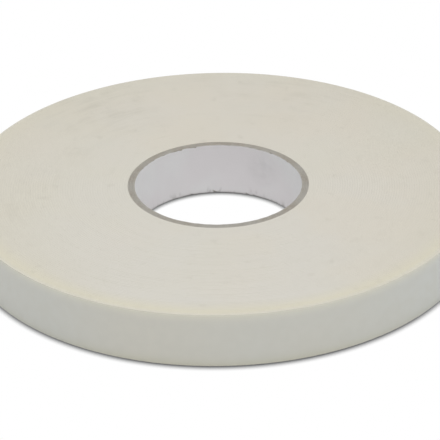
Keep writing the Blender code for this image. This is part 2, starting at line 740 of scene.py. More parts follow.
@dataclass(frozen=True)
class Finish:
    """What a surface is made of. A finish paints one material, which its pieces share.

    Attributes:
        low: Height of the lower slit edges.
        high: Height of the upper slit edges.
        slot: The record's material slot.
        roughness: How matt the surface is.
        gloss: How strongly it mirrors, where 0.5 is plain plastic.
    """

    low: float
    high: float
    slot: Slot
    roughness: float
    gloss: float

    def edges(self, reach: float) -> SlitEdges:
        """The marks along the slit edges, which reach so far from them."""
        return SlitEdges(self.low, self.high, reach)

    def varied(self, graph: Graph, mask: Socket, change: float) -> Socket:
        """The roughness, from so much below to so much above its usual value as a mask rises."""
        return graph.between(mask, (self.roughness - change, self.roughness + change))

    def paint(self, graph: Graph) -> dict[str, Socket]:
        """Wire the finish's own detail.

        Args:
            graph: The material's tree.

        Returns:
            What feeds the shader, by its sockets' names.
        """
        raise NotImplementedError

    def material(self) -> bpy.types.Material:
        """Build the material.

        Returns:
            A material that is named for its slot.
        """
        made = bpy.data.materials.new(f"{self.slot.value}_finish")
        made.use_nodes = True
        graph = Graph(made.node_tree)
        sockets = made.node_tree.nodes["Principled BSDF"].inputs
        sockets["Roughness"].default_value = self.roughness
        sockets["Specular IOR Level"].default_value = self.gloss
        for name, painted in self.paint(graph).items():
            graph.feed(sockets[name], painted)
        return made


@dataclass(frozen=True)
class TapeFinish(Finish):
    """A finish of the wound tape, whose slit edges make up the roll's end faces.

    Attributes:
        sides: How far from the middle the roll's left and right sides set in, and are full.
        smudges: Grime on the end faces.
    """

    sides: Range = (0.03, 0.10)
    smudges: LapSmudges = LapSmudges()

    def beside(self, graph: Graph, sideways: Socket) -> Socket:
        """A mask of the roll's left and right sides."""
        return graph.spread(graph.math("ABSOLUTE", sideways), self.sides)


@dataclass(frozen=True)
class FoamFinish(TapeFinish):
    """Cream closed-cell foam, slit across: soft tints, painted light along the rim, grime smeared along
    the laps, and fine cells with painted shade in their pits.

    A band says how far inside the rim a tint sets in, and where it is full.
    """

    # grime colour, also used for the painted shade in the cells' pits
    grime: ClassVar[Colour] = shade(184, 180, 167)

    slot: Slot = Slot.FOAM
    roughness: float = 0.85
    gloss: float = 0.15
    rim_radius: float = field(kw_only=True)
    rim_band: Range = (0.012, 0.0)
    side_band: Range = (0.050, 0.0)
    last_lap_band: Range = (0.0035, 0.0005)
    front_to_back: Range = (1.0, 0.1)
    grey_middle_to_sides: Range = (0.6, 0.2)
    grey_in_patches: float = 0.3
    warm_patches: SoftPatches = SoftPatches(size=0.060, softness=0.12)
    grey_patches: SoftPatches = SoftPatches(size=0.035, softness=0.14)
    grey_shift: Place = (0.37, 0.11, 0.0)
    specks: Grain = Grain(size=0.006, detail=3.0, limits=(0.60, 0.78))
    cell_size: float = 0.00022
    cell_depth: float = 0.00003
    cell_limits: Range = (0.0, 0.75)
    cell_matt: float = 0.06
    cream: Colour = shade(212, 208, 195)
    warm: Tint = Tint(shade(215, 207, 194), 0.5)
    grey: Tint = Tint(shade(212, 209, 201))
    dull: Tint = Tint(shade(208, 203, 187), 0.45)
    # painted light: a yellowish band inside the rim at the front, standing in for light that comes through
    # the foam's edge
    rim: Tint = Tint(shade(215, 210, 189))
    # painted highlight: paler edges on the outermost laps, standing in for the rim catching light
    pale: Tint = Tint(shade(214, 211, 199), 0.8)
    smudge: Tint = Tint(grime, 0.36)
    speck: Tint = Tint(grime, 0.22)
    # painted shade: darker in the pits of the cells, where the bump is lowest
    painted_pit_shade: Tint = Tint(grime, 0.08)

    def near_rim(self, graph: Graph, radius: Socket, band: Range) -> Socket:
        """A mask that rises over a band inside the rim."""
        return graph.spread(radius, (self.rim_radius - band[0], self.rim_radius - band[1]))

    def paint(self, graph: Graph) -> dict[str, Socket]:
        """Tint the foam by patches, side and radius, with painted light along the rim, then add grime,
        specks, and cells with painted shade in their pits.

        Args:
            graph: The material's tree.

        Returns:
            What feeds the shader, by its sockets' names.
        """
        place = graph.place_on_piece()
        shifted = graph.vector("ADD", place, self.grey_shift)
        smudges = graph.use(self.smudges, place)
        radius = smudges["radius"]
        sideways, depth, _ = graph.coordinates(place)
        beside = self.beside(graph, sideways)
        front = graph.spread(depth, (-self.rim_radius, self.rim_radius), self.front_to_back)
        grey_front = graph.overlap(front, graph.between(beside, self.grey_middle_to_sides))
        grey_patches = graph.use(self.grey_patches, shifted)["patch"]
        cells = graph.add("TexVoronoi", {"Vector": place, "Scale": 1 / self.cell_size})
        dimple = graph.spread(cells.outputs["Distance"], self.cell_limits)
        colour = graph.coats(
            self.cream,
            (graph.use(self.warm_patches, place)["patch"], self.warm),
            (graph.math("MULTIPLY_ADD", grey_patches, self.grey_in_patches, grey_front), self.grey),
            (graph.overlap(self.near_rim(graph, radius, self.side_band), beside), self.dull),
            # painted light inside the front of the rim
            (graph.overlap(self.near_rim(graph, radius, self.rim_band), front), self.rim),
            # painted highlight along the rim
            (self.near_rim(graph, radius, self.last_lap_band), self.pale),
            (smudges["smudge"], self.smudge),
            (graph.grain(shifted, self.specks), self.speck),
            # painted shade in the cells' pits
            (graph.between(dimple, FALLING), self.painted_pit_shade),
        )
        return {
            "Base Color": colour,
            "Roughness": self.varied(graph, dimple, self.cell_matt),
            "Normal": graph.bump(dimple, self.cell_depth),
        }


@dataclass(frozen=True)
class LinerFinish(TapeFinish):
    """Siliconised release paper: satin grey-white and cloudy, with painted light below its upper edge and
    painted shade at its foot.
    """

    cloudy: ClassVar[Colour] = shade(203, 202, 193)

    slot: Slot = Slot.RELEASE_LINER
    roughness: float = 0.46
    gloss: float = 0.40
    cool_patches: SoftPatches = SoftPatches(size=0.11, softness=0.16)
    cool_in_patches: float = 0.4
    cool_at_sides: float = 0.6
    clouds: SoftPatches = SoftPatches(size=0.0045, softness=0.2)
    cloud_matt: float = 0.05
    fibres: PaperFibre = PaperFibre(size=0.0007)
    fibre_depth: float = 0.000012
    wave_size: float = 0.022
    wave_depth: float = 0.00012
    edge_reach: float = 0.0018
    edge_matt: float = 0.22
    foot_shade_middle_to_sides: Range = (0.9, 0.3)
    paper: Colour = shade(209, 207, 197)
    cool: Tint = Tint(shade(205, 207, 202))
    cloud: Tint = Tint(cloudy, 0.30)
    fibre: Tint = Tint(cloudy, 0.10)
    # painted light: a paler, warmer band below the upper edge, standing in for light shining through the
    # foam from above
    painted_upper_glow: Tint = Tint(shade(229, 226, 208), 0.95)
    # painted shade: a darker, yellower band at the foot, where the wall meets the floor
    painted_foot_shade: Tint = Tint(shade(203, 201, 181))
    cut: Colour = shade(200, 197, 186)
    smudge: Tint = Tint(shade(183, 179, 166), 0.36)

    def paint(self, graph: Graph) -> dict[str, Socket]:
        """Tint the paper by patches and clouds, then its edges, with painted light below the upper one and
        painted shade at the foot, and give it tooth and soft waves.

        Args:
            graph: The material's tree.

        Returns:
            What feeds the shader, by its sockets' names.
        """
        place = graph.place_on_piece()
        beside = self.beside(graph, graph.coordinates(place)[0])
        patches = graph.use(self.cool_patches, place)["patch"]
        clouds = graph.use(self.clouds, place)["patch"]
        fibres = graph.use(self.fibres, place)
        edges = graph.use(self.edges(self.edge_reach), place)
        cool_sides = graph.math("MULTIPLY", beside, self.cool_at_sides)
        # painted shade at the foot, fading up from the lower edge, stronger in the middle of the wall than
        # at its sides
        foot_shade_mask = graph.overlap(edges["lower"], graph.between(beside, self.foot_shade_middle_to_sides))
        colour = graph.coats(
            self.paper,
            (graph.math("MULTIPLY_ADD", patches, self.cool_in_patches, cool_sides), self.cool),
            (clouds, self.cloud),
            (fibres["fibre"], self.fibre),
            # painted light below the upper edge
            (edges["upper"], self.painted_upper_glow),
            # painted shade at the foot
            (foot_shade_mask, self.painted_foot_shade),
        )
        cut = graph.coats(self.cut, (graph.use(self.smudges, place)["smudge"], self.smudge))
        matt = self.varied(graph, clouds, self.cloud_matt)
        waves = graph.noise(place, 1 / self.wave_size, detail=1.0)
        height = graph.math("MULTIPLY_ADD", fibres["height"], self.fibre_depth / self.wave_depth, waves)
        return {
            "Base Color": graph.mix(edges["cut"], colour, cut),
            "Roughness": graph.math("MULTIPLY_ADD", edges["rub"], self.edge_matt, matt),
            "Normal": graph.bump(height, self.wave_depth),
        }


@dataclass(frozen=True)
class AdhesiveFinish(Finish):
    """Pale tacky adhesive: glossy, with coating ripples and lint caught near its edges."""

    slot: Slot = Slot.ADHESIVE
    roughness: float = 0.24
    gloss: float = 0.50
    patches: SoftPatches = SoftPatches(size=0.012, softness=0.2)
    ripple_size: float = 0.0016
    ripple_depth: float = 0.00004
    edge_reach: float = 0.0012
    edge_matt: float = 0.4
    clear: Colour = shade(222, 217, 200)
    amber: Tint = Tint(shade(214, 205, 180))
    lint: Tint = Tint(shade(186, 180, 165), 0.5)

    def paint(self, graph: Graph) -> dict[str, Socket]:
        """Tint the coat by patches, dull its edges with lint, and ripple it.

        Args:
            graph: The material's tree.

        Returns:
            What feeds the shader, by its sockets' names.
        """
        place = graph.place_on_piece()
        patches = graph.use(self.patches, place)["patch"]
        rub = graph.use(self.edges(self.edge_reach), place)["rub"]
        ripples = graph.noise(place, 1 / self.ripple_size, detail=2.0)
        return {
            "Base Color": graph.coats(self.clear, (patches, self.amber), (rub, self.lint)),
            "Roughness": graph.math("MULTIPLY_ADD", rub, self.edge_matt, self.roughness),
            "Normal": graph.bump(ripples, self.ripple_depth),
        }


@dataclass(frozen=True)
class LiningFinish(Finish):
    """White paper that lines the bore: fibrous, with a finger mark, frayed edges, and painted shadow and
    scuffing at its foot.
    """

    soiled: ClassVar[Colour] = shade(196, 194, 194)
    # dark colour of the painted shadow along the foot and of the scuffing near it, which is partly painted
    # shade
    dirty: ClassVar[Colour] = shade(140, 137, 132)

    slot: Slot = Slot.WHITE_PAPER
    roughness: float = 0.72
    gloss: float = 0.20
    lilac_patches: SoftPatches = SoftPatches(size=0.03, softness=0.15)
    fibres: PaperFibre = PaperFibre(size=0.0009)
    fibre_depth: float = 0.00003
    mark_place: Place = (0.0207, 0.0319, 0.0152)
    mark_reach: float = 0.012
    mark_blotches: SoftPatches = SoftPatches(size=0.004, softness=0.2)
    mark_evenness: Range = (0.3, 1.0)
    edge_reach: float = 0.0005
    edge_matt: float = 0.15
    # dark patches near the foot: partly scuffing and partly painted shade
    scuff_and_shade_grain: Grain = Grain(size=0.0022, detail=1.0, limits=(0.55, 0.68))
    scuff_and_shade_stretch: Place = (1.0, 1.0, 0.4)
    scuff_and_shade_reach: float = 0.0014
    white: Colour = shade(227, 227, 227)
    lilac: Tint = Tint(shade(224, 221, 222))
    mark: Tint = Tint(soiled, 0.4)
    fibre: Tint = Tint(soiled, 0.10)
    frayed: Tint = Tint(shade(190, 187, 181), 0.7)
    # painted shadow: darker along the lower edge, where the lining meets the floor
    painted_foot_shadow: Tint = Tint(dirty, 0.6)
    scuff_and_shade: Tint = Tint(dirty, 0.7)
    cut: Tint = Tint(shade(170, 166, 157))

    def paint(self, graph: Graph) -> dict[str, Socket]:
        """Tint the paper by patches, then add the finger mark, fibres, frayed edges, painted shadow at the
        foot and scuffing that is partly painted shade.

        Args:
            graph: The material's tree.

        Returns:
            What feeds the shader, by its sockets' names.
        """
        place = graph.place_on_piece()
        away = graph.measure("DISTANCE", place, self.mark_place)
        near_mark = graph.spread(away, (0.0, self.mark_reach), FALLING)
        blotches = graph.between(graph.use(self.mark_blotches, place)["patch"], self.mark_evenness)
        fibres = graph.use(self.fibres, place)
        edges = graph.use(self.edges(self.edge_reach), place)
        scuff_and_shade_grain = graph.grain(graph.vector("MULTIPLY", place, self.scuff_and_shade_stretch), self.scuff_and_shade_grain)
        near_foot = graph.use(self.edges(self.scuff_and_shade_reach), place)["lower"]
        colour = graph.coats(
            self.white,
            (graph.use(self.lilac_patches, place)["patch"], self.lilac),
            (graph.overlap(near_mark, blotches), self.mark),
            (fibres["fibre"], self.fibre),
            (edges["rub"], self.frayed),
            # painted shadow along the foot
            (edges["lower"], self.painted_foot_shadow),
            # dark patches near the foot, partly scuffing and partly painted shade
            (graph.overlap(scuff_and_shade_grain, near_foot), self.scuff_and_shade),
            (edges["cut"], self.cut),
        )
        return {
            "Base Color": colour,
            "Roughness": graph.math("MULTIPLY_ADD", edges["rub"], self.edge_matt, self.roughness),
            "Normal": graph.bump(fibres["height"], self.fibre_depth),
        }


@dataclass(frozen=True)
class BoardFinish(Finish):
    """Grey board of recycled fibre: speckled, matt, paler where the knife has frayed it."""

    dark: ClassVar[Colour] = shade(112, 105, 96)

    slot: Slot = Slot.GREY_BOARD
    roughness: float = 0.92
    gloss: float = 0.12
    brown_patches: SoftPatches = SoftPatches(size=0.009, softness=0.2)
    fray: SoftPatches = SoftPatches(size=0.0016, softness=0.12)
    fibres: PaperFibre = PaperFibre(size=0.0006)
    fibre_depth: float = 0.00005
    specks: Grain = Grain(size=1 / 1900, detail=1.0, limits=(0.66, 0.74))
    grey: Colour = shade(171, 168, 161)
    brown: Tint = Tint(shade(164, 158, 148))
    frayed: Tint = Tint(shade(182, 178, 168), 0.30)
    dark_fibre: Tint = Tint(dark, 0.28)
    dark_speck: Tint = Tint(dark, 0.5)

    def paint(self, graph: Graph) -> dict[str, Socket]:
        """Tint the board by patches, then add pale fray, dark fibres and specks.

        Args:
            graph: The material's tree.

        Returns:
            What feeds the shader, by its sockets' names.
        """
        place = graph.place_on_piece()
        fibres = graph.use(self.fibres, place)
        colour = graph.coats(
            self.grey,
            (graph.use(self.brown_patches, place)["patch"], self.brown),
            (graph.use(self.fray, place)["patch"], self.frayed),
            (fibres["fibre"], self.dark_fibre),
            (graph.grain(place, self.specks), self.dark_speck),
        )
        return {"Base Color": colour, "Normal": graph.bump(fibres["height"], self.fibre_depth)}


@dataclass(frozen=True)
class FlatMap:
    """A flat map of a bent strip on edge, where its sides lie in bands clear of the map's border.

    Attributes:
        start: Angle at which the strip starts.
        span: How far round it runs.
        low: Height of its lower slit edge.
        high: Height of its upper slit edge.
        inner: Radius of its inner face, by how far round a point is.
        thickness: Its thickness.
        rows: In how many lengths it is laid out, one above the other.
        lengths: First and last place of each length across the map.
        ends: First and last place of the strip's two ends across the map.
        edge_reach: Faces this close to a slit edge, as a share of the width, can belong to it.
    """

    start: float
    span: float
    low: float
    high: float
    inner: Callable[[float], float]
    thickness: float
    rows: int = 2
    lengths: Range = (0.04, 0.90)
    ends: Range = (0.94, 0.97)
    edge_reach: float = 0.035

    def up(self, point: Vector) -> float:
        """Height of a point as a share of the width."""
        return (point.z - self.low) / (self.high - self.low)

    def side(self, face: bmesh.types.BMFace) -> Side:
        """Tell which side of the strip a face is on.

        Args:
            face: The face.

        Returns:
            The side that it faces most.
        """
        middle = face.calc_center_median()
        outwards = Vector((middle.x, middle.y, 0.0)).normalized()
        away = face.normal.dot(outwards)
        onwards = face.normal.dot(Vector((-outwards.y, outwards.x, 0.0)))
        at_edge = abs(self.up(middle) - 0.5) > 0.5 - self.edge_reach
        upwards = face.normal.z if at_edge else 0.0
        facing = {
            Side.OUTER: away,
            Side.INNER: -away,
            Side.UPPER: upwards,
            Side.LOWER: -upwards,
            Side.START: -onwards,
            Side.STOP: onwards,
        }
        return max(facing, key=facing.get)

    def lay_out(self, bm: Mesh) -> None:
        """Give each corner of each face its place on the map.

        Args:
            bm: The strip, with its faces pointing outwards.
        """
        bm.normal_update()
        flat = bm.loops.layers.uv.new(BAKE_MAP)
        slack = (FULL_TURN - self.span) / 2
        for face in bm.faces:
            side = self.side(face)
            angle = angle_of(face.calc_center_median())
            turn = (angle - self.start + slack) % FULL_TURN - slack
            row = min(int(self.rows * turn / self.span), self.rows - 1)
            for loop in face.loops:
                turned = turn + wrapped(angle_of(loop.vert.co) - angle)
                loop[flat].uv = self.place(loop.vert.co, turned, side, row)

    def place(self, corner: Vector, turned: float, side: Side, row: int) -> Point:
        """Where a corner goes on the map.

        Args:
            corner: The corner.
            turned: How far round the strip it is.
            side: The side that its face is on.
            row: The length that its face is in.

        Returns:
            Its place across and up the map.
        """
        through = (radius_of(corner) - self.inner(turned)) / self.thickness
        if side in (Side.START, Side.STOP):
            return part_way(self.ends, through), part_way(side.value, self.up(corner))
        along = part_way(self.lengths, self.rows * turned / self.span - row)
        across = through if side in (Side.UPPER, Side.LOWER) else self.up(corner)
        return along, (row + part_way(side.value, across)) / self.rows


@dataclass(frozen=True)
class LapMap:
    """A flat map of many laps, with most of its room for their slit edges.

    The upper and the lower edges lie side by side as discs. Thin edges, which would vanish there, and the
    faces that other laps hide, go round a turn in bands that all laps share.

    Attributes:
        winding: The spiral that the laps follow.
        thin: Whether their slit edges are too thin for discs.
        upright: Faces that look up or down less than this are the hidden ones.
        turn_reach: How far half a turn reaches to either side of the map's middle.
        hidden_band: First and last place of the hidden faces up the map.
        thin_band: Height of a band of thin edges.
        disc_radius: Radius of the roll's rim on a disc.
        disc_height: Middle of the discs up the map.
        disc_places: Middle of each edge's disc across the map.
        thin_places: Start of each edge's band up the map.
    """

    winding: Winding
    thin: bool
    upright: float = 0.5
    turn_reach: float = 0.47
    hidden_band: Range = (0.04, 0.46)
    thin_band: float = 0.1
    disc_radius: float = 0.24
    disc_height: float = 0.75
    disc_places: ClassVar[dict[Edge, float]] = {Edge.UPPER: 0.25, Edge.LOWER: 0.75}
    thin_places: ClassVar[dict[Edge, float]] = {Edge.UPPER: 0.625, Edge.LOWER: 0.875}

    def lay_out(self, bm: Mesh) -> None:
        """Give each corner of each face its place on the map.

        Args:
            bm: The wound laps, with their faces pointing outwards.
        """
        bm.normal_update()
        flat = bm.loops.layers.uv.new(BAKE_MAP)
        for face in bm.faces:
            angle = angle_of(face.calc_center_median())
            hidden = abs(face.normal.z) < self.upright
            edge = Edge.towards(face.normal.z)
            for loop in face.loops:
                turned = angle + wrapped(angle_of(loop.vert.co) - angle)
                across = 0.5 + self.turn_reach * turned / math.pi
                if hidden:
                    loop[flat].uv = (across, self.up_hidden(loop.vert.co))
                elif self.thin:
                    loop[flat].uv = (across, self.up_thin(loop.vert.co, edge))
                else:
                    loop[flat].uv = self.on_disc(loop.vert.co, edge)

    def up_hidden(self, corner: Vector) -> float:
        """How far up the map a corner of a hidden face goes."""
        width = self.winding.high - self.winding.low
        return part_way(self.hidden_band, (corner.z - self.winding.low) / width)

    def up_thin(self, corner: Vector, edge: Edge) -> float:
        """How far up the map a corner of a thin edge goes."""
        inwards = (self.winding.end_radius - radius_of(corner)) / self.winding.pitch
        return self.thin_places[edge] + self.thin_band * (inwards % 1.0)

    def on_disc(self, corner: Vector, edge: Edge) -> Point:
        """Where a corner goes on its edge's disc."""
        scale = self.disc_radius / self.winding.end_radius
        return self.disc_places[edge] + scale * corner.x, self.disc_height + scale * corner.y


def make_piece(name: str, bm: Mesh, lay_out: Callable[[Mesh], None] | None = None) -> Piece:
    """Turn a finished bmesh into a piece at the origin.

    Args:
        name: The piece's name.
        bm: Its shape, which is freed.
        lay_out: What lays its faces out flat, if anything does.

    Returns:
        The piece, smooth up to its sharp corners.
    """
    bmesh.ops.recalc_face_normals(bm, faces=bm.faces[:])
    if lay_out is not None:
        lay_out(bm)
    mesh = bpy.data.meshes.new(name)
    bm.to_mesh(mesh)
    bm.free()
    mesh.shade_smooth()
    mesh.set_sharp_from_angle(angle=SHARP_CORNER)
    piece = bpy.data.objects.new(name, mesh)
    bpy.context.scene.collection.objects.link(piece)
    return piece


def dress(piece: Piece, slot: Slot, finishes: Finishes, node: str) -> None:
    """Args:
        piece: The piece.
        slot: The material slot that its finish comes from.
        finishes: The materials.
        node: Name of the solid.
    """
    piece.data.materials.append(finishes[slot])
    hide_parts(node)


def wall(inner: float, outer: float, low: float, high: float) -> Outline:
    """Outline of a plain wall between two radii and two heights."""
    return [(inner, low), (outer, low), (outer, high), (inner, high)]


def section(bm: Mesh, outline: Outline) -> list[bmesh.types.BMEdge]:
    """Draw a closed outline in the plane that goes through the roll's axis and +X.

    Args:
        bm: Where it is drawn.
        outline: Radius and height of its corners, in order.

    Returns:
        Its edges.
    """
    corners = [bm.verts.new((radius, 0.0, height)) for radius, height in outline]
    return [bm.edges.new(pair) for pair in zip(corners, corners[1:] + corners[:1])]


def sweep(bm: Mesh, angle: float, steps: int) -> Turns:
    """Spin all that is drawn about the roll's axis, and leave the ends open.

    Args:
        bm: What is spun, in the plane through +X.
        angle: How far it is spun.
        steps: In how many steps.

    Returns:
        How far each corner has been spun.
    """
    drawn = bm.verts[:] + bm.edges[:]
    spun = bmesh.ops.spin(bm, geom=drawn, cent=CENTRE, axis=AXIS, angle=angle, steps=steps)
    turns = {vert: angle_of(vert.co) % FULL_TURN for vert in bm.verts}
    for element in spun["geom_last"]:
        if isinstance(element, bmesh.types.BMVert):
            turns[element] = angle
    return turns


@dataclass
class SpiralStrip:
    """A strip of the tape on edge, on the winding, from one angle of the last turn to another.

    Attributes:
        winding: The spiral.
        near: Depth of its outer face below the lap's outer surface.
        far: Depth of its inner face.
        start: Angle at which it starts.
        stop: Angle at which it stops.
        first_lap: How many laps inwards its outermost lap lies.
        laps: How many laps it has, one inside the other.
        crown: How far its slit edges stand out in the middle.
        recess: How far its slit edges lie back as a whole.
        curl: How far its end stands off the roll.
        curl_power: Power by which that grows towards the end.
        step: Longest step along the tape, at the roll's rim.
        thinnest: The innermost lap starts where the core leaves it this much room.
    """

    winding: Winding
    near: float
    far: float
    start: float
    stop: float
    first_lap: int = 0
    laps: int = 1
    crown: float = 0.0
    recess: float = 0.0
    curl: float = 0.0
    curl_power: int = 3
    step: float = 0.005
    thinnest: float = 0.00015

    def outline(self) -> Outline:
        """Draw the strip's section where its outermost lap starts.

        Returns:
            Radius and height of the corners, in order.
        """
        surface = self.winding.radius(self.start, self.first_lap)
        outer = surface - self.near
        inner = surface - self.far
        low, high = self.winding.low, self.winding.high
        if self.crown == 0.0:
            return wall(inner, outer, low, high)
        middle = (outer + inner) / 2
        return [
            (inner, low + self.crown),
            (middle, low),
            (outer, low + self.crown),
            (outer, high - self.crown),
            (middle, high),
            (inner, high - self.crown),
        ]

    def lifted(self, turn: float) -> float:
        """How far the strip stands off the roll, by how far round a point is."""
        return self.curl * (turn / (self.stop - self.start)) ** self.curl_power

    def inner(self, turn: float) -> float:
        """Radius of the inner face of the outermost lap, by how far round a point is."""
        return self.winding.radius(self.start + turn, self.first_lap) - self.far + self.lifted(turn)

    def wind(self, bm: Mesh, turns: Turns) -> None:
        """Bring a swept section onto the spiral, and start the innermost lap where it has room.

        Args:
            bm: The swept section.
            turns: How far each of its corners has been swept.
        """
        winding = self.winding
        surface = winding.radius(self.start)
        halfway = (winding.low + winding.high) / 2
        crowded = []
        for vert, turn in turns.items():
            angle = self.start + turn
            radius = radius_of(vert.co)
            lap = math.floor((surface - self.near - radius) / winding.pitch + LAP_ROUNDING)
            if winding.radius(angle, lap) - self.near - winding.core_radius < self.thinnest:
                crowded.append(vert)
            edge = Edge.towards(vert.co.z - halfway)
            height = vert.co.z - edge.value * (self.recess + winding.shortfall(angle, lap, edge))
            radius = max(radius + winding.pitch * turn / FULL_TURN, winding.core_radius)
            vert.co = around(radius + self.lifted(turn), angle, height)
        bmesh.ops.delete(bm, geom=crowded, context="VERTS")

    def flat_map(self) -> FlatMap | LapMap:
        """Choose the flat map that suits the strip.

        Returns:
            The map.
        """
        thickness = self.far - self.near
        if self.laps > 1:
            return LapMap(self.winding, thin=thickness < self.winding.pitch / 2)
        span = self.stop - self.start
        return FlatMap(self.start, span, self.winding.low, self.winding.high, self.inner, thickness)

    def build(self, name: str) -> Piece:
        """Model the strip.

        Args:
            name: The piece's name.

        Returns:
            The piece.
        """
        bm = bmesh.new()
        section(bm, self.outline())
        drawn = bm.verts[:] + bm.edges[:]
        for lap in range(1, self.laps):
            copied = bmesh.ops.duplicate(bm, geom=drawn)["geom"]
            corners = [element for element in copied if isinstance(element, bmesh.types.BMVert)]
            bmesh.ops.translate(bm, vec=(-lap * self.winding.pitch, 0.0, 0.0), verts=corners)
        span = self.stop - self.start
        turns = sweep(bm, span, math.ceil(span * self.winding.end_radius / self.step))
        self.wind(bm, turns)
        bmesh.ops.remove_doubles(bm, verts=bm.verts[:], dist=MERGE_DISTANCE)
        bmesh.ops.holes_fill(bm, edges=[edge for edge in bm.edges if edge.is_boundary], sides=0)
        return make_piece(name, bm, self.flat_map().lay_out)


@dataclass(frozen=True)
class Ring:
    """Sizes of a ring around the roll's axis.

    Attributes:
        inner: Inner radius.
        outer: Outer radius.
        low: Height of its lower edge.
        high: Height of its upper edge.
    """

    inner: float
    outer: float
    low: float
    high: float

    @classmethod
    def measured(cls, node: str) -> "Ring":
        """Measure a ring on one of the frame's solids.

        Args:
            node: Name of the solid.

        Returns:
            The ring's sizes.
        """
        radii = [radius for radius, _ in polar(node)]
        low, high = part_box(node)
        return cls(min(radii), max(radii), low.z, high.z)

    def flat_map(self, start: float) -> FlatMap:
        """A flat map of the whole ring, from an angle on."""
        thickness = self.outer - self.inner
        return FlatMap(start, FULL_TURN, self.low, self.high, lambda turn: self.inner, thickness)


@dataclass(frozen=True)
class Nick:
    """A nick in a slit edge of the lining.

    Attributes:
        middle: Angle of its middle.
        width: Its width, as an angle.
        depth: Its depth.
    """

    middle: float
    width: float
    depth: float

    def at(self, angle: float) -> float:
        """How deep it is at an angle."""
        return self.depth * max(0.0, 1 - 2 * abs(wrapped(angle - self.middle)) / self.width)


@dataclass(frozen=True)
class NickedEdge:
    """How a slit edge of the lining is nicked.

    Attributes:
        nicks: How many nicks there are.
        side: First and last angle of the side that has them, in degrees.
        widths: Narrowest and widest nick.
        depths: Shallowest and deepest nick.
    """

    nicks: int
    side: Range
    widths: Range
    depths: Range

    def draw(self, draws: random.Random, radius: float) -> list[Nick]:
        """Draw the nicks at random.

        Args:
            draws: Where the draws come from.
            radius: Radius of the edge.

        Returns:
            The nicks.
        """
        first, last = (math.radians(angle) for angle in self.side)
        return [
            Nick(
                middle=draws.uniform(first, last),
                width=draws.uniform(*self.widths) / radius,
                depth=draws.uniform(*self.depths),
            )
            for _ in range(self.nicks)
        ]


